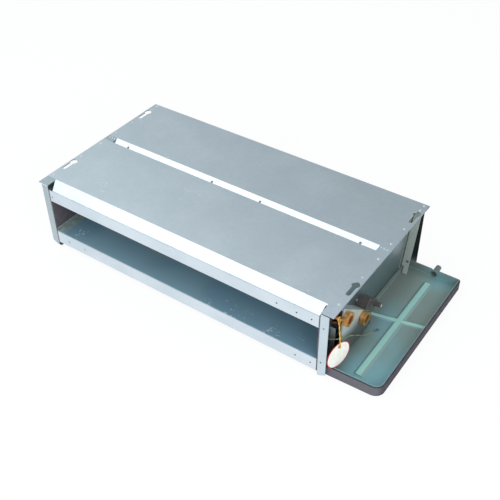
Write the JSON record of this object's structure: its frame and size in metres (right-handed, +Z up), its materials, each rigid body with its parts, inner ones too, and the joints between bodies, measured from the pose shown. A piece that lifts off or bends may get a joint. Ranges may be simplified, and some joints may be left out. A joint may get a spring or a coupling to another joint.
{
  "type": "ducted fan coil unit",
  "caption": "Concealed ceiling fan coil unit: galvanised casing with front outlet slot, slanted coil, side drain pan, brass water unions and twin centrifugal fans.",
  "frame": {"origin": "middle of the bounding box at floor level, cords and tag left out", "axes": "+X across the unit towards the water connections, +Y from the outlet to the return, +Z up"},
  "size_m": [1.137, 0.5473, 0.2266],
  "materials": {
    "galvanised": "galvanised sheet, fine spangle",
    "pan_paint": "teal grey coated steel",
    "foam": "closed cell insulation foam",
    "fins": "plain aluminium fins",
    "copper": "bare copper tube",
    "brass": "machined brass",
    "black_plastic": "moulded, satin",
    "pale_plastic": "moulded",
    "wheel_metal": "pressed sheet",
    "motor_paint": "grey enamel",
    "shaft_steel": "ground",
    "filter_frame": "rolled channel",
    "filter_mesh": "woven nylon",
    "screw_zinc": "zinc plated",
    "tag_card": "coated card",
    "tag_yarn": "twisted yarn",
    "wire_cover": "green and yellow sleeve",
    "spigot": "coated like the pan"
  },
  "bodies": {
    "casing": {"air_vent_body": "brass", "bottom_panel": "galvanised", "cable_gland": "black_plastic", "coil_baffle": "galvanised", "coil_bends_left": "copper", "coil_bends_right": "copper", "coil_drain_pan": "pan_paint", "coil_end_plate_left": "galvanised", "coil_end_plate_right": "galvanised", "coil_fin_pack": "fins", "drain_spigot": "spigot", "earth_wire": "wire_cover", "fan_deck": "galvanised", "fan_housing_left": "galvanised", "fan_housing_right": "galvanised", "filter_rail_bottom": "galvanised", "filter_rail_top": "galvanised", "flange_rivets": "screw_zinc", "front_top_panel": "galvanised", "groove_screws": "screw_zinc", "hang_tag": "tag_card", "header_cover": "galvanised", "motor_body": "motor_paint", "motor_cradle": "galvanised", "motor_straps": "galvanised", "outlet_bottom_strip": "galvanised", "outlet_top_strip": "galvanised", "pan_insulation": "foam", "panel_screws": "screw_zinc", "rear_top_panel": "galvanised", "return_bottom_strip": "galvanised", "return_header": "copper", "return_top_strip": "galvanised", "return_union": "brass", "ring_terminal": "screw_zinc", "side_drain_pan": "pan_paint", "side_foam_ends": "foam", "side_foam_long": "foam", "side_pan_foam": "foam", "side_plate_left": "galvanised", "side_plate_right": "galvanised", "side_strut_left": "galvanised", "side_strut_right": "galvanised", "supply_header": "copper", "supply_union": "brass", "tag_knot": "tag_yarn", "tag_string": "tag_yarn", "terminal_block": "pale_plastic", "terminal_box": "black_plastic", "terminal_box_lid": "black_plastic", "top_foam_sheet": "foam", "wall_foam_left": "foam", "wall_foam_right": "foam", "wall_screws": "screw_zinc"},
    "fan_rotor": {"fan_wheel_left": "wheel_metal", "fan_wheel_right": "wheel_metal", "motor_shaft": "shaft_steel"},
    "return_filter": {"filter_frame": "filter_frame", "filter_mesh": "filter_mesh"},
    "vent_screw": {"air_vent_screw": "brass"}
  },
  "joints": [
    {"name": "fan_spin", "type": "hinge", "parent": "casing", "child": "fan_rotor", "pos_m": [-0.0685, 0.125, 0.112], "axis": [1, 0, 0], "continuous": true},
    {"name": "filter_slide", "type": "slide", "parent": "casing", "child": "return_filter", "axis": [1, 0, 0], "range_m": [0, 0.88]},
    {"name": "vent_turn", "type": "hinge", "parent": "casing", "child": "vent_screw", "pos_m": [0.4355, -0.24182, 0.19988], "axis": [1, 0, 0], "range_deg": [0, 360]}
  ]
}
